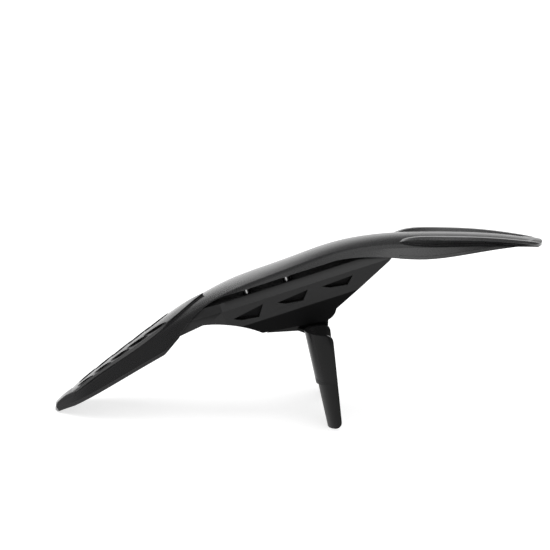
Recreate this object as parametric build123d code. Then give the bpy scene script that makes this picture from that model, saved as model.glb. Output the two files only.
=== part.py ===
from build123d import *
import math
import os
from collections import namedtuple

# Front mudguard for a bicycle's suspension fork: a long moulded shell on a U-shaped carrier, with two
# half-sleeve legs that hug the rear of the fork's lower legs.
# Frame: +X forward, +Y to the rider's left, +Z up. Z = 0 is the floor under the tail and both legs.
# All sizes are in millimetres, angles in degrees.

# Walls and clearances
SHELL_WALL = 2.6
CARRIER_WALL = 3.0
KEEL_WALL = 4.6
TONGUE_WALL = 3.4
NEST_GAP = 0.4
SEAT_GAP = 0.05
SCREW_GAP = 0.15

# Shell stations from tail to nose: place along X, height of the crown line, half-width and height of the
# shoulder, half-width and height of the skirt's foot, and the rounding of the shoulder
Station = namedtuple("Station", "x crown shoulder_y shoulder_z foot_y foot_z rounding")
STATIONS = [
    Station(-278, -4.5, 16, -7, 33, -17, 5),
    Station(-240, 29.5, 20, 27, 38, 11, 5),
    Station(-200, 61.5, 23.5, 58, 43, 40, 6),
    Station(-145, 104, 30, 99.3, 48, 75, 8),
    Station(-112, 127, 37.5, 120.8, 48.5, 106, 14),
    Station(-76, 145.5, 36, 142, 43, 137, 18),
    Station(-15, 169.5, 33, 166, 42, 159, 18),
    Station(39, 190, 33.5, 185.5, 43, 176.5, 18),
    Station(93, 200.5, 35, 194.5, 48, 180, 14),
    Station(152, 203.3, 36.5, 195.5, 47, 180, 8),
    Station(185, 203, 34.5, 196, 43.5, 184, 7),
    Station(215, 201.8, 31.5, 196, 39.5, 188, 6),
    Station(245, 199, 26.5, 195, 34, 189.5, 5),
    Station(274, 195, 20, 193.5, 27, 189, 5),
]
SKIRT_REACH = 14
VOID_EXTRA = 10
NEST_REACH = 54
LEAST_ROUNDING = 1

# Side view of the shell's lower edge
TAIL_FLOOR = (-290, 0)
TAIL_HEEL = (-269, 0)
TAIL_CORNER = (-246, 12)
SKIRT_CORNER = (-145, 75.5)
SKIRT_RISE = (-130, 93.5)
WAIST_EDGE = (-101, 127.5)
SLOT_REAR = (-76, 140.5)
SLOT_FRONT = (39, 179)
ARCH_EDGE = (93, 183.5)
FRONT_DIP = (133, 182)
FRONT_RISE = (196, 189)
NOSE_EDGE = (256, 194)
SKIRT_CORNER_RADIUS = 12

# Plan view of the shell's two ends
TAIL_TIP_X = -271
TAIL_ROUND_X = -262
TAIL_ROUND_HALF = 23
TAIL_SHOULDER_X = -238
TAIL_SHOULDER_HALF = 38
NOSE_TIP_X = 271
NOSE_CORNER_X = 254
NOSE_CORNER_HALF = 29

# Turned hem along the free skirts at tail and front
HEM_HEIGHT = 3.2
HEM_PROUD = 0.7
HEM_REAR_END = -128
HEM_FRONT_START = 108

# Raised leaf-shaped deck on the tail, with a pointed lip over the crown
DECK_ROOT_X = -70
DECK_TIP_X = -105
DECK_TIP_SPREAD = 0.62
DECK_NECK_X = -136
DECK_NECK_HALF = 20
DECK_WIDE_X = -160
DECK_WIDE_HALF = 25
DECK_ROUND_X = -240
DECK_ROUND_HALF = 15
DECK_END_X = -252
DECK_STEP = 2.6
DECK_EDGE_FALL = 2.4
DECK_MARGIN = 6
DECK_DEPTH = 16

# Louvres of the deck: lens-shaped slots in pairs, front ends outboard, each with a raised lip
LOUVRE_PAIRS = 5
LOUVRE_FIRST_X = -158
LOUVRE_PITCH = 19.5
LOUVRE_LENGTH = 25
LOUVRE_LAST_LENGTH = 17
LOUVRE_WIDTH = 4.6
LOUVRE_TURN = 22
LOUVRE_FIRST_Y = 15.5
LOUVRE_LAST_Y = 11
LOUVRE_LIP = 1.1
LOUVRE_LIP_PROUD = 0.8

# Twin rails on the front blade, each a wing-shaped ridge that overhangs the skirt
Rail = namedtuple("Rail", "x toe_y toe_z crest_y crest_z brow_y brow_z under_y under_z")
RAIL_STATIONS = [
    Rail(106, 12, 193, 22, 195, 27.5, 196, 25, 188),
    Rail(126, 8, 199, 27, 203.2, 37, 201.8, 32.5, 193.5),
    Rail(148, 6, 200.5, 28.5, 204.2, 41, 202.4, 34.5, 194.5),
    Rail(180, 6, 200.5, 28, 203.8, 40, 202, 33, 194.8),
    Rail(212, 6, 199, 25.5, 202.3, 36, 200.3, 30, 193.5),
    Rail(244, 6, 196, 21, 199, 30, 197.2, 24.5, 191),
    Rail(276, 6, 189.5, 15, 193, 22, 191.5, 16, 186),
]
RAIL_FLAT = 5

# Carrier: a folded U section that runs along the slot under the shell, drawn in at the tail.
# Its heights are counted down from the slot, square to the run.
SLOT_GAP = 6
DECK_HALF = 40
LEDGE_HALF = 45.5
LEDGE_DROP = 9
CREASE_HALF = 45
PANEL_DEPTH = 21.5
RIM_HALF = 38
KEEL_DEPTH = 29
CARRIER_REACH = 170
TAPER_RUN = -40
TAPER_END_RUN = -120
TAPER_SHARE = 0.68

# Side view of the carrier
CARRIER_TAIL = (-131, 92)
BELLY_REAR = (-104, 106.5)
BELLY_MID = (-78, 108)
RIM_REAR = (-39, 98.5)
RIM_FRONT = (28, 111.5)
NOTCH_LOW = (36.5, 116)
NOTCH_HIGH = (41, 126)
CARRIER_NOSE = (97, 180)
CARRIER_TOP = (112, 200)

# Vents of the side panels: blind slanted pockets along the run, shallower from rear to front
VENT_PITCH = 51
VENT_FIRST = -31
VENT_LENGTH = 36
VENT_TOP_DROP = 5
VENT_DEPTHS = (12.5, 10, 8.5)
VENT_TAIL_DROPS = (6, 3.5, 1.5)
VENT_HEEL = 8.5
VENT_HEEL_DROP = 4
VENT_TOE = 8.5
VENT_POCKET = 7
VENT_BACK = 1.6

# Legs: half sleeves for the fork's lower legs, thicker above a step
FORK_HALF_SPACING = 62
CUP_RADIUS = 22
CUP_WALL = 3
CUP_TILT = 13.2
CUP_AXIS_X = 34
CUP_AXIS_Z = 103
CUP_TOP = 107
CUP_TOP_FRONT_X = 34.5
CUP_FOOT_FRONT_X = 47
CUP_TOP_RADIUS = 7
CUP_TOE_RADIUS = 9
CUP_STEP = 57
CUP_STEP_PROUD = 2

# Tongue of each leg inside the keel, and the web that ties it to the cup
TONGUE_TOP_DROP = 4
TONGUE_FOOT_DROP = 12
TONGUE_REAR = (-34, 97.5)
TONGUE_HEEL = (8, 99.5)
TONGUE_FRONT_X = 33
TONGUE_TOP_REAR_X = -22
WEB_WALL = 3
WEB_REACH = 12
WEB_ANGLE = 25

# Fasteners
SHELL_SCREW_XS = (-56, -13)
SHELL_SCREW_Y = 32.5
SHELL_SCREW_D = 4
POST_SIDES = 8  # shanks and their holes are kept to eight flat sides
SHELL_HEAD_FLATS = 7
SHELL_HEAD_H = 2.8
SPACER_FLATS = 7
SPACER_H = 5
BOSS_SIDE = 9
BOSS_REACH = 20
THREAD_DEPTH = 3
LEG_SCREW_RUNS = (26, 54)
LEG_SCREW_DROP = 12
LEG_SCREW_D = 5
LEG_HEAD_FLATS = 8
LEG_HEAD_H = 2.7
LEG_THREAD_DEPTH = 3.2

# Room beyond the object for the cutting prisms, and how far short cuts run past a face
ROOM = 400
CUT_EXTRA = 1

# Direction of the carrier's run and of its section heights, and the heights that follow from the slot
RUN_ANGLE = math.atan2(SLOT_FRONT[1] - SLOT_REAR[1], SLOT_FRONT[0] - SLOT_REAR[0])
ALONG = Vector(math.cos(RUN_ANGLE), 0, math.sin(RUN_ANGLE))
UPWARD = Vector(-math.sin(RUN_ANGLE), 0, math.cos(RUN_ANGLE))
SECTION = Plane((0, 0, 0), x_dir=(0, 1, 0), z_dir=ALONG)
DECK_HEIGHT = UPWARD.dot(Vector(SLOT_REAR[0], 0, SLOT_REAR[1])) - SLOT_GAP
LEDGE_HEIGHT = DECK_HEIGHT - LEDGE_DROP
CREASE_HEIGHT = LEDGE_HEIGHT - PANEL_DEPTH
RIM_HEIGHT = CREASE_HEIGHT - KEEL_DEPTH


def side_prism(outline, half_width=ROOM):
    """Prism across the object from an outline in side view."""
    return extrude(Plane.XZ * make_face(outline), half_width, both=True)


def plan_prism(outline, low=-ROOM, high=ROOM):
    """Upright prism from an outline in plan view."""
    return extrude(Plane.XY.offset(low) * make_face(outline), high - low)


def mirrored(part):
    """The same part on the other side of the middle plane."""
    return mirror(part, Plane.XZ)


def both_sides(part):
    return part + mirrored(part)


def nearest(vertices, x, y):
    return min(vertices, key=lambda v: math.hypot(v.X - x, v.Y - y))


# Shell
def arch(station, inset, reach):
    """Closed arch across one station, moved inwards by inset, with skirts that run on past their feet.

    The outside has round shoulders. An inset arch has bevelled ones, which keeps the wall no thinner there.
    """
    out = station.foot_y - station.shoulder_y
    down = station.shoulder_z - station.foot_z
    flare = math.atan2(out, down)
    slope = 2 * math.atan2(station.crown - station.shoulder_z, station.shoulder_y)
    skirt_in = (-math.cos(flare), -math.sin(flare))
    crown_in = (-math.sin(slope), -math.cos(slope))
    mitre = inset / (1 + skirt_in[0] * crown_in[0] + skirt_in[1] * crown_in[1])
    shoulder_y = station.shoulder_y + mitre * (skirt_in[0] + crown_in[0])
    shoulder_z = station.shoulder_z + mitre * (skirt_in[1] + crown_in[1])
    foot_y = station.foot_y + inset * skirt_in[0] + reach * math.sin(flare)
    foot_z = station.foot_z + inset * skirt_in[1] - reach * math.cos(flare)
    right_foot = Vector(station.x, -foot_y, foot_z)
    right_shoulder = Vector(station.x, -shoulder_y, shoulder_z)
    crown = Vector(station.x, 0, station.crown - inset)
    left_shoulder = Vector(station.x, shoulder_y, shoulder_z)
    left_foot = Vector(station.x, foot_y, foot_z)
    face = Face(Wire([
        Edge.make_line(right_foot, right_shoulder),
        Edge.make_three_point_arc(right_shoulder, crown, left_shoulder),
        Edge.make_line(left_shoulder, left_foot),
        Edge.make_line(left_foot, right_foot),
    ]))
    corners = [v for v in face.vertices() if abs(v.Z - shoulder_z) < 1e-4]
    rounding = max(station.rounding - inset, LEAST_ROUNDING)
    if inset <= 0:
        return face.fillet_2d(rounding, corners)
    bevel = rounding * math.tan((math.pi / 2 - flare - slope) / 2)
    return face.chamfer_2d(bevel, bevel, corners)


def arch_body(inset, reach=SKIRT_REACH):
    return loft([arch(station, inset, reach) for station in STATIONS])


def edge_line(lift):
    """Region above the shell's lower edge in side view, moved up by lift."""
    def at(point):
        return (point[0], point[1] + lift)
    heel = Polyline(at(TAIL_FLOOR), at(TAIL_HEEL), at(TAIL_CORNER), at(SKIRT_CORNER), at(SKIRT_RISE))
    waist = Spline(at(SKIRT_RISE), at(WAIST_EDGE), at(SLOT_REAR))
    slot = Line(at(SLOT_REAR), at(SLOT_FRONT))
    front = Spline(at(SLOT_FRONT), at(ARCH_EDGE), at(FRONT_DIP), at(FRONT_RISE), at(NOSE_EDGE))
    end = (ROOM, NOSE_EDGE[1] + lift)
    roof = Polyline(at(NOSE_EDGE), end, (ROOM, ROOM), (TAIL_FLOOR[0], ROOM), at(TAIL_FLOOR))
    face = make_face(heel + waist + slot + front + roof)
    corner = nearest(face.vertices(), *at(SKIRT_CORNER))
    return fillet(corner, SKIRT_CORNER_RADIUS)


def above_edge(lift=0):
    return extrude(Plane.XZ * edge_line(lift), ROOM, both=True)


def end_trim():
    """Plan view that rounds the nose and the tail tip."""
    tail_curve = [(TAIL_SHOULDER_X, -TAIL_SHOULDER_HALF), (TAIL_ROUND_X, -TAIL_ROUND_HALF), (TAIL_TIP_X, 0),
                  (TAIL_ROUND_X, TAIL_ROUND_HALF), (TAIL_SHOULDER_X, TAIL_SHOULDER_HALF)]
    tail = Spline(*tail_curve)
    nose_ends = [(NOSE_CORNER_X, NOSE_CORNER_HALF), (NOSE_CORNER_X, -NOSE_CORNER_HALF)]
    nose = ThreePointArc(nose_ends[0], (NOSE_TIP_X, 0), nose_ends[1])
    left = Polyline(tail_curve[-1], (TAIL_SHOULDER_X, ROOM), (NOSE_CORNER_X, ROOM), nose_ends[0])
    right = Polyline(nose_ends[1], (NOSE_CORNER_X, -ROOM), (TAIL_SHOULDER_X, -ROOM), tail_curve[0])
    return plan_prism(tail + left + nose + right)


def deck_blank(proud):
    """Crowned slab over the tail, proud of the crown line by the given step."""
    sections = []
    for station in [s for s in STATIONS if s.x < DECK_ROOT_X]:
        half = DECK_WIDE_HALF + DECK_MARGIN
        top = station.crown + proud
        fall = DECK_EDGE_FALL * (half / DECK_WIDE_HALF) ** 2
        ends = [Vector(station.x, side * half, top - fall) for side in (-1, 1)]
        feet = [Vector(station.x, side * half, top - DECK_DEPTH) for side in (-1, 1)]
        sections.append(Face(Wire([
            Edge.make_three_point_arc(ends[0], Vector(station.x, 0, top), ends[1]),
            Edge.make_line(ends[1], feet[1]),
            Edge.make_line(feet[1], feet[0]),
            Edge.make_line(feet[0], ends[0]),
        ])))
    return loft(sections)


def hem():
    """Band along the lower edge of the free skirts, proud of them."""
    band = (above_edge() - above_edge(HEM_HEIGHT)) & end_trim()
    waist = Box(HEM_FRONT_START - HEM_REAR_END, 2 * ROOM, 4 * ROOM)
    band -= Pos((HEM_REAR_END + HEM_FRONT_START) / 2, 0, 0) * waist
    return arch_body(-HEM_PROUD) & band


def deck_outline():
    tip = (DECK_TIP_X, 0)
    end = (DECK_END_X, 0)
    left = Spline(tip, (DECK_NECK_X, DECK_NECK_HALF), (DECK_WIDE_X, DECK_WIDE_HALF),
                  (DECK_ROUND_X, DECK_ROUND_HALF), end, tangents=((-1, DECK_TIP_SPREAD), (0, -1)))
    return left + mirror(left, Plane.XZ)


def louvre_prisms(margin):
    """Left row of louvre prisms, front ends outboard, grown by margin all round."""
    row = []
    for number in range(LOUVRE_PAIRS):
        share = number / (LOUVRE_PAIRS - 1)
        length = LOUVRE_LENGTH + share * (LOUVRE_LAST_LENGTH - LOUVRE_LENGTH)
        y = LOUVRE_FIRST_Y + share * (LOUVRE_LAST_Y - LOUVRE_FIRST_Y)
        tips = [Vector(sign * (length / 2 + margin), 0) for sign in (-1, 1)]
        bows = [Vector(0, sign * (LOUVRE_WIDTH / 2 + margin)) for sign in (-1, 1)]
        lens = make_face(ThreePointArc(tips[0], bows[1], tips[1]) + ThreePointArc(tips[1], bows[0], tips[0]))
        place = Pos(LOUVRE_FIRST_X - number * LOUVRE_PITCH, y) * Rot(0, 0, LOUVRE_TURN)
        row.append(extrude(place * lens, ROOM))
    return Part() + row


def rail():
    """Left rail, sunk into the crown at both ends."""
    sections = []
    for cut in RAIL_STATIONS:
        toe = Vector(cut.x, cut.toe_y, cut.toe_z)
        crest = [Vector(cut.x, cut.crest_y + side * RAIL_FLAT / 2, cut.crest_z) for side in (-1, 1)]
        brow = Vector(cut.x, cut.brow_y, cut.brow_z)
        under = Vector(cut.x, cut.under_y, cut.under_z)
        sections.append(Face(Wire.make_polygon([toe, *crest, brow, under])))
    return loft(sections)


def run_plane(run, y, height):
    """Plane square to the carrier's section height at a place along its run."""
    return Plane(ALONG * run + UPWARD * height + Vector(0, y, 0), x_dir=ALONG, z_dir=UPWARD)


def run_at(x, height):
    """Run along the carrier at which a section height has the given X."""
    return (x + height * math.sin(RUN_ANGLE)) / math.cos(RUN_ANGLE)


def shell_screw_planes():
    """Planes on the carrier's deck at the four shell screws."""
    planes = []
    for x in SHELL_SCREW_XS:
        for side in (-1, 1):
            planes.append(run_plane(run_at(x, DECK_HEIGHT), side * SHELL_SCREW_Y, DECK_HEIGHT))
    return planes


def post(plane, diameter, low, high):
    return plane.offset(low) * extrude(RegularPolygon(diameter / 2, POST_SIDES), high - low)


def top_shell():
    solid = arch_body(0) & above_edge() & end_trim()
    solid += deck_blank(DECK_STEP) & plan_prism(deck_outline())
    solid += both_sides(rail()) & end_trim()
    solid += hem()
    lip_blank = deck_blank(DECK_STEP + LOUVRE_LIP_PROUD)
    solid += both_sides(lip_blank & louvre_prisms(LOUVRE_LIP))
    shell = solid - arch_body(SHELL_WALL, SKIRT_REACH + VOID_EXTRA)
    shell -= both_sides(louvre_prisms(0))
    boss_room = arch_body(SHELL_WALL / 2)
    for plane in shell_screw_planes():
        boss = plane.offset(SPACER_H) * extrude(Rectangle(BOSS_SIDE, BOSS_SIDE), BOSS_REACH)
        shell += boss & boss_room
        shell -= post(plane, SHELL_SCREW_D + 2 * SCREW_GAP, 0, SPACER_H + THREAD_DEPTH + SCREW_GAP)
    return shell


# Carrier
def mirror_points(half):
    """Closed row of points from a half section listed from the middle outwards."""
    return half + [(-y, n) for y, n in reversed(half)]


def section_face(points):
    return make_face(Polyline(*points, close=True))


def run_prism(points):
    return extrude(SECTION * section_face(points), CARRIER_REACH, both=True)


def channel(points):
    """Section carried along the run, drawn in from TAPER_RUN to the tail so that it tucks into the shell."""
    tail = [(y * TAPER_SHARE, height) for y, height in points]
    start = SECTION.offset(TAPER_RUN)
    full = start * section_face(points)
    taper = loft([SECTION.offset(TAPER_END_RUN) * section_face(tail), full], ruled=True)
    return taper + extrude(full, CARRIER_REACH - TAPER_RUN)


def facet_half(height):
    """Half-width of the undercut facet's outer face at a section height."""
    return RIM_HALF + (CREASE_HALF - RIM_HALF) * (height - RIM_HEIGHT) / (CREASE_HEIGHT - RIM_HEIGHT)


def keel_half(height):
    """Half-width of the keel wall's inner face at a section height."""
    return facet_half(height) - KEEL_WALL


def carrier():
    outer = [(DECK_HALF, DECK_HEIGHT), (LEDGE_HALF, LEDGE_HEIGHT), (CREASE_HALF, CREASE_HEIGHT),
             (RIM_HALF, RIM_HEIGHT)]
    inner = [(DECK_HALF - CARRIER_WALL, DECK_HEIGHT - CARRIER_WALL),
             (LEDGE_HALF - CARRIER_WALL, LEDGE_HEIGHT - CARRIER_WALL / 2),
             (CREASE_HALF - CARRIER_WALL, CREASE_HEIGHT + KEEL_WALL),
             (keel_half(CREASE_HEIGHT), CREASE_HEIGHT),
             (keel_half(RIM_HEIGHT - CUT_EXTRA), RIM_HEIGHT - CUT_EXTRA)]
    folded = channel(mirror_points(outer)) - channel(mirror_points(inner))
    belly = Polyline(CARRIER_TAIL, BELLY_REAR)
    sweep = Spline(BELLY_REAR, BELLY_MID, RIM_REAR)
    rim = Polyline(RIM_REAR, RIM_FRONT)
    notch = ThreePointArc(RIM_FRONT, NOTCH_LOW, NOTCH_HIGH)
    front = Polyline(NOTCH_HIGH, CARRIER_NOSE, CARRIER_TOP, (CARRIER_TOP[0], ROOM), (CARRIER_TAIL[0], ROOM),
                     CARRIER_TAIL)
    blank = folded & side_prism(belly + sweep + rim + notch + front)
    under_shell = arch_body(SHELL_WALL + NEST_GAP, NEST_REACH)
    below_edge = Box(4 * ROOM, 2 * ROOM, 4 * ROOM) - above_edge(-NEST_GAP)
    bracket = (blank & under_shell) + (blank & below_edge)
    for number in range(len(VENT_DEPTHS)):
        floor = LEDGE_HALF - VENT_POCKET
        bracket += both_sides(vent(number, VENT_BACK, floor - VENT_BACK, CREASE_HALF - CARRIER_WALL / 2))
        bracket -= both_sides(vent(number, 0, floor, ROOM))
    for plane in shell_screw_planes():
        bracket -= post(plane, SHELL_SCREW_D + 2 * SCREW_GAP, -CARRIER_WALL - CUT_EXTRA, CUT_EXTRA)
    for side in (-1, 1):
        for plane in leg_screw_planes(side):
            depth = TONGUE_WALL + LEG_THREAD_DEPTH + SCREW_GAP
            bracket -= post(plane, LEG_SCREW_D + 2 * SCREW_GAP, -CUT_EXTRA, depth)
    return bracket


def vent(number, margin, low, high):
    """Prism of one vent of the left panel, grown by margin, between two half-widths."""
    start = VENT_FIRST + number * VENT_PITCH
    top = LEDGE_HEIGHT - VENT_TOP_DROP
    tail_height = top - VENT_TAIL_DROPS[number]
    points = [(start, tail_height), (start + VENT_LENGTH, top),
              (start + VENT_LENGTH - VENT_TOE, top - VENT_DEPTHS[number]),
              (start + VENT_HEEL, tail_height - VENT_HEEL_DROP)]
    face = offset(section_face(points), margin, kind=Kind.INTERSECTION)
    plane = Plane((0, high, 0), x_dir=ALONG, z_dir=(0, -1, 0))
    return extrude(plane * face, high - low)


# Legs
def leg_screw_planes(side):
    """Planes on the tongue's inner face at the leg screws, facing outwards."""
    lean = math.atan2(CREASE_HALF - RIM_HALF, CREASE_HEIGHT - RIM_HEIGHT)
    outward = Vector(0, side * math.cos(lean), 0) - UPWARD * math.sin(lean)
    height = CREASE_HEIGHT - LEG_SCREW_DROP
    inner = keel_half(height) - SEAT_GAP - TONGUE_WALL / math.cos(lean)
    planes = []
    for run in LEG_SCREW_RUNS:
        origin = ALONG * run + UPWARD * height + Vector(0, side * inner, 0)
        planes.append(Plane(origin, x_dir=ALONG, z_dir=outward))
    return planes


def cup_plane():
    """Plane square to the left cup's axis, where the axis meets the floor, looking up the axis."""
    tilt = math.radians(CUP_TILT)
    floor_x = CUP_AXIS_X + CUP_AXIS_Z * math.tan(tilt)
    return Plane((floor_x, FORK_HALF_SPACING, 0), x_dir=(math.cos(tilt), 0, math.sin(tilt)),
                 z_dir=(-math.sin(tilt), 0, math.cos(tilt)))


def cup_profile():
    """Side view of a cup: straight front edge, round corners, foot square to the axis."""
    tilt = math.radians(CUP_TILT)
    radius = CUP_RADIUS + CUP_WALL
    axis_x = CUP_AXIS_X + CUP_AXIS_Z * math.tan(tilt)
    heel_x = axis_x - radius / math.cos(tilt)
    rise = math.tan(tilt)
    toe = (CUP_FOOT_FRONT_X, (CUP_FOOT_FRONT_X - heel_x) * rise)
    back_x = CUP_AXIS_X - 2 * radius
    points = [(back_x, (back_x - heel_x) * rise), toe, (CUP_TOP_FRONT_X, CUP_TOP), (back_x, CUP_TOP)]
    face = make_face(Polyline(*points, close=True))
    face = fillet(nearest(face.vertices(), *toe), CUP_TOE_RADIUS)
    return fillet(nearest(face.vertices(), CUP_TOP_FRONT_X, CUP_TOP), CUP_TOP_RADIUS)


def tongue():
    """Flat plate that lies on the keel wall's inner face."""
    high = CREASE_HEIGHT - TONGUE_TOP_DROP
    low = RIM_HEIGHT - TONGUE_FOOT_DROP
    strip = [(keel_half(high) - SEAT_GAP, high), (keel_half(low) - SEAT_GAP, low)]
    strip += [(y - TONGUE_WALL, height) for y, height in reversed(strip)]
    ends = (TONGUE_FRONT_X, TONGUE_TOP_REAR_X)
    top = [(x, (high + x * math.sin(RUN_ANGLE)) / math.cos(RUN_ANGLE)) for x in ends]
    outline = Polyline(TONGUE_REAR, TONGUE_HEEL, (TONGUE_FRONT_X, TONGUE_HEEL[1]), *top, TONGUE_REAR)
    return run_prism(strip) & side_prism(outline)


def web():
    """Flat web that ties the tongue to the cup's rear."""
    outer = CUP_RADIUS + CUP_WALL
    inner = keel_half(RIM_HEIGHT) - TONGUE_WALL
    lean = math.radians(WEB_ANGLE)
    corner = (CUP_AXIS_X - outer * math.cos(lean), FORK_HALF_SPACING - outer * math.sin(lean))
    outline = Polyline((TONGUE_HEEL[0] - WEB_REACH, inner), (CUP_AXIS_X, inner), corner,
                       (TONGUE_HEEL[0] - WEB_REACH, inner))
    bore = cup_plane() * extrude(Circle(CUP_RADIUS), ROOM, both=True)
    return plan_prism(outline, TONGUE_HEEL[1], TONGUE_HEEL[1] + WEB_WALL) - bore


def left_leg():
    outer = CUP_RADIUS + CUP_WALL
    sleeve = cup_plane() * extrude(Circle(outer) - Circle(CUP_RADIUS), ROOM, both=True)
    upper = Circle(outer + CUP_STEP_PROUD) - Circle(CUP_RADIUS)
    sleeve += cup_plane().offset(CUP_STEP) * extrude(upper, ROOM)
    cup = sleeve & extrude(Plane.XZ * cup_profile(), ROOM, both=True)
    leg = cup + tongue() + web()
    for plane in leg_screw_planes(1):
        leg -= post(plane, LEG_SCREW_D + 2 * SCREW_GAP, -CUT_EXTRA, TONGUE_WALL + CUT_EXTRA)
    return leg


# Fasteners
def hexagon(flats):
    return RegularPolygon(flats / 2, 6, major_radius=False)


def screw(plane, diameter, length, head_flats, head_h):
    """Hexagon-head screw: seat of the head on the plane, shank along its normal."""
    head = plane.offset(-head_h) * extrude(hexagon(head_flats), head_h)
    return head + post(plane, diameter, 0, length)


def shell_screws():
    length = CARRIER_WALL + SPACER_H + THREAD_DEPTH
    return [screw(plane.offset(-CARRIER_WALL), SHELL_SCREW_D, length, SHELL_HEAD_FLATS, SHELL_HEAD_H)
            for plane in shell_screw_planes()]


def shell_spacers():
    ring = hexagon(SPACER_FLATS) - RegularPolygon(SHELL_SCREW_D / 2 + SCREW_GAP, POST_SIDES)
    return [plane * extrude(ring, SPACER_H) for plane in shell_screw_planes()]


def leg_screws():
    length = TONGUE_WALL + LEG_THREAD_DEPTH
    return [screw(plane, LEG_SCREW_D, length, LEG_HEAD_FLATS, LEG_HEAD_H)
            for side in (-1, 1) for plane in leg_screw_planes(side)]


left = left_leg()
NODES = {
    "top_shell": top_shell(),
    "carrier": carrier(),
    "left_leg": left,
    "right_leg": mirrored(left),
    "shell_screws": Compound(children=shell_screws()),
    "shell_spacers": Compound(children=shell_spacers()),
    "leg_screws": Compound(children=leg_screws()),
}

os.makedirs("parts", exist_ok=True)
for name, shape in NODES.items():
    export_step(shape, f"parts/{name}.step")
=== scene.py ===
import math

import bpy
from mathutils import Matrix, Vector


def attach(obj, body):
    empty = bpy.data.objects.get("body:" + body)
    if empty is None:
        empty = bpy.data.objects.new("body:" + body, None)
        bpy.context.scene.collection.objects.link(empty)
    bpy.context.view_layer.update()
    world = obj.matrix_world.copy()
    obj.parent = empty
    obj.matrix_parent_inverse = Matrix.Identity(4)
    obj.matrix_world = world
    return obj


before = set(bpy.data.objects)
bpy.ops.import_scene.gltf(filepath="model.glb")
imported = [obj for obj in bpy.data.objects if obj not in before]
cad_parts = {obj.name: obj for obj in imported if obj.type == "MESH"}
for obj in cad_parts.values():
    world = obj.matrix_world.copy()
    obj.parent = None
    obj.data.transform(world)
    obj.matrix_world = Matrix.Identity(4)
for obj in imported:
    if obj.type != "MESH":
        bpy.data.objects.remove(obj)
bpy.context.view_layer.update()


# Carrier: the U-shaped bracket that straddles the tyre, moulded in black polypropylene with fine-grained
# side panels, blind vents and an undercut keel. The shell is screwed on top of it and the legs inside.
# Painted shade darkens the vents, the undercut keel and the slot floor under the shell. A painted highlight
# lightens the chamfer.
class Field:
    """A number that varies over a surface. Arithmetic on it adds Math nodes to its material."""

    def __init__(self, tree, socket):
        self.tree = tree
        self.socket = socket

    def maths(self, operation, *terms):
        node = self.tree.nodes.new("ShaderNodeMath")
        node.operation = operation
        for slot, term in zip(node.inputs, terms):
            if isinstance(term, Field):
                self.tree.links.new(term.socket, slot)
            else:
                slot.default_value = term
        return Field(self.tree, node.outputs[0])

    def __add__(self, other):
        return self.maths("ADD", self, other)

    def __sub__(self, other):
        return self.maths("SUBTRACT", self, other)

    def __rsub__(self, other):
        return self.maths("SUBTRACT", other, self)

    def __mul__(self, other):
        return self.maths("MULTIPLY", self, other)

    def __truediv__(self, other):
        return self.maths("DIVIDE", self, other)

    def __abs__(self):
        return self.maths("ABSOLUTE", self)

    __radd__ = __add__
    __rmul__ = __mul__


class Nodes:
    """A node tree under construction: add() makes any node and returns one of its outputs."""

    def __init__(self, tree):
        self.tree = tree
        self.tree.nodes.clear()

    def add(self, kind, settings, values, output=0):
        node = self.tree.nodes.new("ShaderNode" + kind)
        for key, value in settings.items():
            setattr(node, key, value)
        for key, value in values.items():
            if isinstance(value, Field):
                self.tree.links.new(value.socket, node.inputs[key])
            else:
                node.inputs[key].default_value = value
        return Field(self.tree, node.outputs[output]) if node.outputs else None

    def step(self, value, low, high, start=0.0, end=1.0):
        """Smooth change from start to end as the value goes from low to high."""
        values = {"Value": value, "From Min": low, "From Max": high, "To Min": start, "To Max": end}
        return self.add("MapRange", {"interpolation_type": "SMOOTHSTEP"}, values, "Result")


class Finish(Nodes):
    """One material, with x, y and z in the part's frame for its patterns to follow."""

    def __init__(self, name):
        self.material = bpy.data.materials.new(name)
        self.material.use_nodes = True
        super().__init__(self.material.node_tree)
        self.place = self.add("TexCoord", {}, {}, "Object")
        split = {"Vector": self.place}
        self.x, self.y, self.z = (self.add("SeparateXYZ", {}, split, axis) for axis in "XYZ")

    def noise(self, scale, detail=2.0, roughness=0.5):
        values = {"Vector": self.place, "Scale": scale, "Detail": detail, "Roughness": roughness}
        return self.add("TexNoise", {}, values, "Fac")

    def blend(self, share, first, second):
        """Colour between two, by a share that varies over the surface."""
        return self.add("Mix", {"data_type": "RGBA"}, {0: share, 6: first, 7: second}, 2)

    def bump(self, height, distance, strength=1.0, **base):
        return self.add("Bump", {}, {"Height": height, "Distance": distance, "Strength": strength, **base})

    def plastic(self, **values):
        return self.add("BsdfPrincipled", {}, values)

    def close(self, surface):
        self.add("OutputMaterial", {}, {"Surface": surface})
        return self.material


def dress(name, material):
    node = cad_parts[name]
    node.data.materials.clear()
    node.data.materials.append(material)


def soften(name, width):
    """Small rounding on the sharp edges of a moulded piece, as its tool leaves them."""
    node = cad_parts[name]
    weld = node.modifiers.new("weld", "WELD")
    weld.merge_threshold = 1e-6
    bevel = node.modifiers.new("edge_rounding", "BEVEL")
    bevel.width = width
    bevel.segments = 3
    bevel.limit_method = "ANGLE"
    bevel.angle_limit = math.radians(35)
    bevel.harden_normals = True


carrier_slope = math.radians(18.5)
crease_height = 0.1209
ledge_height = 0.1424
deck_height = 0.1514
vents_start = -0.036
vent_shade_half = (0.0392, 0.0435)
carrier_rounding = 0.0006
mask_edge = 0.0004
grain_size = 1600

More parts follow.
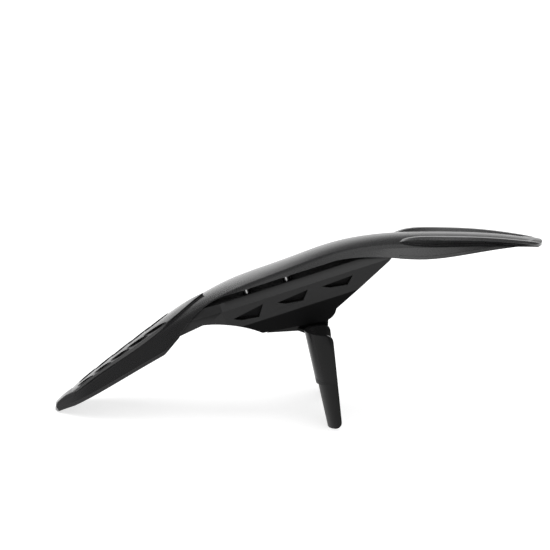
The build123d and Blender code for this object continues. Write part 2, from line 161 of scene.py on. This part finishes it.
finish = Finish("grained_black_plastic")
height = finish.z * math.cos(carrier_slope) - finish.x * math.sin(carrier_slope)
run = finish.x * math.cos(carrier_slope) + finish.z * math.sin(carrier_slope)
keel_shade = 1 - finish.step(height, crease_height - 3 * mask_edge, crease_height + mask_edge)
# Painted highlight: the upward-facing chamfer gets a lighter base colour, as light from above falls on it.
# Its coat weight is raised there too.
chamfer_highlight = finish.step(height, ledge_height - mask_edge, ledge_height + mask_edge)
# Painted shade: the blind vents' pockets get a near-black base colour where shade falls in them.
vent_shade = (1 - finish.step(abs(finish.y), *vent_shade_half)) * finish.step(run, vents_start, vents_start + 0.002)
grain = finish.noise(grain_size, 3.0, 0.6)
cloud = finish.noise(22, 2.0)
relief = finish.bump(grain, 0.00012, 0.55)
colour = finish.blend(cloud, (0.0105, 0.0105, 0.011, 1), (0.0165, 0.0165, 0.017, 1))
colour = finish.blend(chamfer_highlight, colour, (0.02, 0.02, 0.0205, 1))
panel = finish.plastic(**{
    "Base Color": finish.blend(vent_shade, colour, (0.002, 0.002, 0.0022, 1)),
    "Roughness": 0.42 + 0.12 * grain + 0.3 * vent_shade,
    "Specular IOR Level": 0.34,
    "Coat Weight": 0.5 * chamfer_highlight,
    "Coat Roughness": 0.3,
    "Normal": relief,
})
# Painted shade: the undercut keel faces down into shadow, so it gets a near-black base colour and little
# specular.
undercut_shade = finish.plastic(**{
    "Base Color": finish.blend(cloud, (0.0025, 0.0025, 0.0027, 1), (0.0045, 0.0045, 0.0047, 1)),
    "Roughness": 0.55 + 0.1 * grain,
    "Specular IOR Level": 0.08,
    "Normal": relief,
})
# Painted shade: the slot floor under the shell's edge takes the same near-black shader.
slot_floor_shade = finish.step(height, deck_height - 1.5 * mask_edge, deck_height - 0.5 * mask_edge)
surface = finish.add("MixShader", {}, {0: keel_shade + slot_floor_shade, 1: panel, 2: undercut_shade})
dress("carrier", finish.close(surface))
soften("carrier", carrier_rounding)


# Legs: a left and a right half sleeve, moulded in the same plastic as the carrier and screwed to the inside
# of its keel by a tongue. The thick upper part is polished, the part below the step is left satin.
step_height = 0.0555
leg_rounding = 0.0014

finish = Finish("leg_plastic")
lower = 1 - finish.step(finish.z, step_height - 0.001, step_height + 0.001)
grain = finish.noise(grain_size, 3.0, 0.6)
cloud = finish.noise(30, 2.0)
surface = finish.plastic(**{
    "Base Color": finish.blend(cloud, (0.005, 0.005, 0.0052, 1), (0.009, 0.009, 0.0092, 1)),
    "Roughness": 0.2 + 0.2 * lower + 0.05 * grain,
    "Specular IOR Level": 0.18,
    "Normal": finish.bump(grain, 0.00008, 0.3),
})
leg_plastic = finish.close(surface)
for name in ("left_leg", "right_leg"):
    dress(name, leg_plastic)
    soften(name, leg_rounding)


# Screws: dark plated steel, with hexagon heads. Four hold the legs to the carrier's keel, and four hold the
# shell down on the carrier. Their shanks are plain.
finish = Finish("plated_steel")
scuff = finish.noise(900, 4.0, 0.65)
surface = finish.plastic(**{
    "Base Color": finish.blend(scuff, (0.05, 0.05, 0.052, 1), (0.2, 0.2, 0.2, 1)),
    "Metallic": 1.0,
    "Roughness": 0.22 + 0.16 * scuff,
    "Normal": finish.bump(scuff, 0.00003, 0.4),
})
plated_steel = finish.close(surface)
for name in ("leg_screws", "shell_screws"):
    dress(name, plated_steel)


# Spacers: six-sided blackened steel, between the shell and the carrier's deck, with the shell's screws
# through them. A painted highlight, a light strip in the base colour of each, stands in for the two bright
# glints in the slot.
spacer_runs = (-0.0084, 0.0369)
glint_half = 0.0006
finish = Finish("blackened_steel")
run = finish.x * math.cos(carrier_slope) + finish.z * math.sin(carrier_slope)
scuff = finish.noise(900, 4.0, 0.65)
# Painted highlight: a light strip across each spacer at a fixed place.
rear_painted_glint = 1 - finish.step(abs(run - spacer_runs[0]), glint_half, 1.5 * glint_half)
fore_painted_glint = 1 - finish.step(abs(run - spacer_runs[1]), glint_half, 1.5 * glint_half)
colour = finish.blend(scuff, (0.015, 0.015, 0.016, 1), (0.03, 0.03, 0.03, 1))
surface = finish.plastic(**{
    "Base Color": finish.blend(rear_painted_glint + fore_painted_glint, colour, (0.4, 0.4, 0.4, 1)),
    "Metallic": 1.0,
    "Roughness": 0.22 + 0.16 * scuff,
    "Normal": finish.bump(scuff, 0.00003, 0.4),
})
dress("shell_spacers", finish.close(surface))


# Top shell: the long arched blade, moulded in one piece with its louvred tail deck, turned hems and the two
# rails of the front blade. Satin black plastic with a fine texture, four screws from below.
# Painted highlights lighten the tail hem and the tail tip, and painted shade darkens a lens round each
# louvre.
hem_height = 0.0034
tail_edge_slope = 0.63
tail_edge_start = (-0.246, 0.012)
tail_hem_front = -0.135
tail_tip_reach = (-0.268, -0.225)
louvre_pairs = 5
louvre_first = (-0.158, 0.0155)
louvre_last = (-0.236, 0.011)
louvre_lengths = (0.027, 0.019)
louvre_turn = math.radians(22)
louvre_shade_halves = (0.0043, 0.0035)
shell_rounding = 0.0009

finish = Finish("satin_black_plastic")
grain = finish.noise(grain_size, 3.0, 0.6)
cloud = finish.noise(14, 3.0)
rounded = finish.add("Bevel", {"samples": 6}, {"Radius": shell_rounding})
true_normal = finish.add("NewGeometry", {}, {}, "Normal")
turn = 1 - finish.add("VectorMath", {"operation": "DOT_PRODUCT"}, {0: rounded, 1: true_normal}, "Value")
worn = finish.step(turn, 0.01, 0.15) * finish.step(cloud, 0.3, 0.6)
# Painted highlight: a lighter band along the tail skirt's proud lower hem, where light catches it.
above_edge = finish.z - tail_edge_start[1] - tail_edge_slope * (finish.x - tail_edge_start[0])
hem_highlight = 1 - finish.step(above_edge, hem_height - mask_edge, hem_height)
hem_highlight = hem_highlight * (1 - finish.step(finish.x, tail_hem_front - 0.01, tail_hem_front))

# A dark lens of painted shade lies round each louvre on both sides, wider than the slot that is cut there:
# a near-black matte patch where the louvre's shade falls, not relief.
lenses = []
for number in range(louvre_pairs):
    share = number / (louvre_pairs - 1)
    across = abs(finish.y) - (louvre_first[1] + share * (louvre_last[1] - louvre_first[1]))
    forward = finish.x - (louvre_first[0] + share * (louvre_last[0] - louvre_first[0]))
    half_length = (louvre_lengths[0] + share * (louvre_lengths[1] - louvre_lengths[0])) / 2
    along = (forward * math.cos(louvre_turn) + across * math.sin(louvre_turn)) / half_length
    aside = across * math.cos(louvre_turn) - forward * math.sin(louvre_turn)
    louvre_shade_half = louvre_shade_halves[0] + share * (louvre_shade_halves[1] - louvre_shade_halves[0])
    lenses.append(finish.step(louvre_shade_half * (1 - along * along) - abs(aside), 0.0, 1.5 * mask_edge))
louvre_shade = lenses[0]
for lens in lenses[1:]:
    louvre_shade = louvre_shade.maths("MAXIMUM", louvre_shade, lens)

colour = finish.blend(cloud, (0.011, 0.011, 0.0115, 1), (0.018, 0.018, 0.0185, 1))
colour = finish.blend(0.8 * hem_highlight, colour, (0.045, 0.045, 0.046, 1))
# Painted highlight: the base colour is lighter, in patches, towards the rounded tail tip, where it catches
# light.
tail_tip_highlight = (1 - finish.step(finish.x, *tail_tip_reach)) * (0.6 + 0.4 * cloud)
colour = finish.blend(tail_tip_highlight, colour, (0.05, 0.05, 0.051, 1))
surface = finish.plastic(**{
    "Base Color": finish.blend(0.5 * worn, colour, (0.07, 0.07, 0.072, 1)),
    "Roughness": 0.22 + 0.06 * grain + 0.05 * cloud + 0.12 * worn,
    "Specular IOR Level": 0.5,
    "Coat Weight": 0.5,
    "Coat Roughness": 0.15,
    "Normal": finish.bump(grain, 0.0001, 0.4, Normal=rounded),
})
# Painted shade: the near-black matte surface that is mixed in over each lens.
louvre_shade_surface = finish.plastic(**{
    "Base Color": finish.blend(cloud, (0.002, 0.002, 0.0022, 1), (0.004, 0.004, 0.0042, 1)),
    "Roughness": 0.7 + 0.1 * grain,
    "Specular IOR Level": 0.05,
})
surface = finish.add("MixShader", {}, {0: louvre_shade, 1: surface, 2: louvre_shade_surface})
satin_plastic = finish.close(surface)
dress("top_shell", satin_plastic)


# Tail cap: the smooth end of the shell's moulding, from the tip on the floor to the end of the louvred
# deck. It is a thin sheet that hides two narrow slits beside the crown, a fault of the CAD shell.
# Each row is the place along x, the half-width and the height of the ridge.
cap_rows = (
    (-0.2695, 0.0115, 0.0060),
    (-0.2660, 0.0120, 0.0098),
    (-0.2620, 0.0122, 0.0135),
    (-0.2580, 0.0134, 0.0165),
    (-0.2540, 0.0155, 0.0190),
    (-0.2500, 0.0180, 0.0211),
    (-0.2465, 0.0205, 0.0228),
)
cap_crown = 0.0012
cap_drop = 0.0044
cap_shares = [share / 8 for share in range(-8, 9)]
tip_round = 0.0016
cap_foot = 0.0004


def cap_row(x, half, ridge):
    return [(x, share * half, ridge + cap_crown - cap_drop * share ** 8) for share in cap_shares]


rows = [cap_row(*row) for row in cap_rows]
rows[0] = [(x + tip_round * (share ** 2 - 0.5), y, z) for (x, y, z), share in zip(rows[0], cap_shares)]
rows.insert(0, [(x, y, cap_foot) for x, y, z in rows[0]])
width = len(cap_shares)
faces = [(low * width + k, (low + 1) * width + k, (low + 1) * width + k + 1, low * width + k + 1)
         for low in range(len(rows) - 1) for k in range(width - 1)]
cap_mesh = bpy.data.meshes.new("tail_cap")
cap_mesh.from_pydata([point for row in rows for point in row], [], faces)
for face in cap_mesh.polygons:
    face.use_smooth = True
cap_mesh.materials.append(satin_plastic)
tail_cap = bpy.data.objects.new("tail_cap", cap_mesh)
bpy.context.scene.collection.objects.link(tail_cap)
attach(tail_cap, "root")


# Stage: a plain pale floor that keeps a soft shadow, a white surround and broad soft lamps. The plastic
# mirrors white paper low behind it and a dimmer ceiling. The floor is clear when seen from below.
floor_mesh = bpy.data.meshes.new("floor")
reach = 30
corners = [(-reach, -reach, 0), (reach, -reach, 0), (reach, reach, 0), (-reach, reach, 0)]
floor_mesh.from_pydata(corners, [], [(0, 1, 2, 3)])
floor = bpy.data.objects.new("floor", floor_mesh)
bpy.context.scene.collection.objects.link(floor)
finish = Finish("pale_floor")
seen = finish.add("LightPath", {}, {}, "Is Camera Ray")
seen = seen.maths("MAXIMUM", seen, finish.add("LightPath", {}, {}, "Is Glossy Ray"))
seen = seen.maths("MAXIMUM", seen, finish.add("LightPath", {}, {}, "Is Transmission Ray"))
away = finish.step(finish.x * finish.x + finish.y * finish.y, 0.1, 1.2)
glow = finish.blend(away, (0.72, 0.72, 0.72, 1), (0.95, 0.95, 0.95, 1))
surface = finish.plastic(**{
    "Base Color": (0.5, 0.5, 0.5, 1),
    "Roughness": 1.0,
    "Alpha": 1 - finish.add("NewGeometry", {}, {}, "Backfacing"),
    "Specular IOR Level": 0.0,
    "Emission Color": finish.blend(seen, (0, 0, 0, 1), glow),
    "Emission Strength": 1.0,
})
floor_mesh.materials.append(finish.close(surface))

world = bpy.data.worlds.new("white_surround")
bpy.context.scene.world = world
world.use_nodes = True
room_level = 0.55
paper_band = (0.82, 1.0)
paper_levels = (0.12, 1.0)
ceiling_band = (0.78, 0.96)
ceiling_levels = (0.0, 0.5)
surround = Nodes(world.node_tree)
seen = surround.add("LightPath", {}, {}, "Is Camera Ray")
seen = seen.maths("MAXIMUM", seen, surround.add("LightPath", {}, {}, "Is Transmission Ray"))
mirrored = surround.add("LightPath", {}, {}, "Is Glossy Ray")
direction = surround.add("TexCoord", {}, {}, "Generated")
backward = surround.add("SeparateXYZ", {}, {"Vector": direction}, "Y")
upward = surround.add("SeparateXYZ", {}, {"Vector": direction}, "Z")
paper = surround.step(backward, *paper_band, *paper_levels)
ceiling = surround.step(upward, *ceiling_band, *ceiling_levels)
level = room_level * (1 - mirrored) + (paper + ceiling) * mirrored
level = level + (1 - level) * seen
glow = surround.add("Background", {}, {"Color": (1, 1, 1, 1), "Strength": level})
surround.add("OutputWorld", {}, {"Surface": glow})


def lamp(name, place, aim, size, watts):
    light = bpy.data.lights.new(name, "AREA")
    light.shape = "DISK"
    light.size = size
    light.energy = watts
    obj = bpy.data.objects.new(name, light)
    obj.location = place
    obj.rotation_euler = (Vector(aim) - Vector(place)).to_track_quat("-Z", "Y").to_euler()
    bpy.context.scene.collection.objects.link(obj)
    return obj


overhead = lamp("overhead", (0.1, 0.1, 1.6), (0, 0, 0.1), 1.4, 14)
overhead.visible_glossy = False
lamp("front_softbox", (0.0, -1.0, 1.45), (0, 0, 0.1), 1.2, 4)


# Camera: a little above the part, almost square to its right side.
camera_distance = 1.6
camera_elevation = math.radians(12)
camera_azimuth = math.radians(-1.7)
camera_roll = math.radians(0.6)
focal_pixels = 1440
image_pixels = 550
target = Vector((-0.025, 0, 0.1544))
back = Vector((math.sin(camera_azimuth) * math.cos(camera_elevation),
               -math.cos(camera_azimuth) * math.cos(camera_elevation), math.sin(camera_elevation)))
level_right = Vector((math.cos(camera_azimuth), math.sin(camera_azimuth), 0))
level_up = back.cross(level_right)
right = math.cos(camera_roll) * level_right + math.sin(camera_roll) * level_up
up = math.cos(camera_roll) * level_up - math.sin(camera_roll) * level_right
eye = target + camera_distance * back
optics = bpy.data.cameras.new("camera")
optics.sensor_width = 36
optics.lens = focal_pixels / image_pixels * optics.sensor_width
camera = bpy.data.objects.new("camera", optics)
camera.matrix_world = Matrix(((right.x, up.x, back.x, eye.x), (right.y, up.y, back.y, eye.y),
                              (right.z, up.z, back.z, eye.z), (0, 0, 0, 1)))
bpy.context.scene.collection.objects.link(camera)
bpy.context.scene.camera = camera
bpy.context.scene.view_settings.view_transform = "Standard"
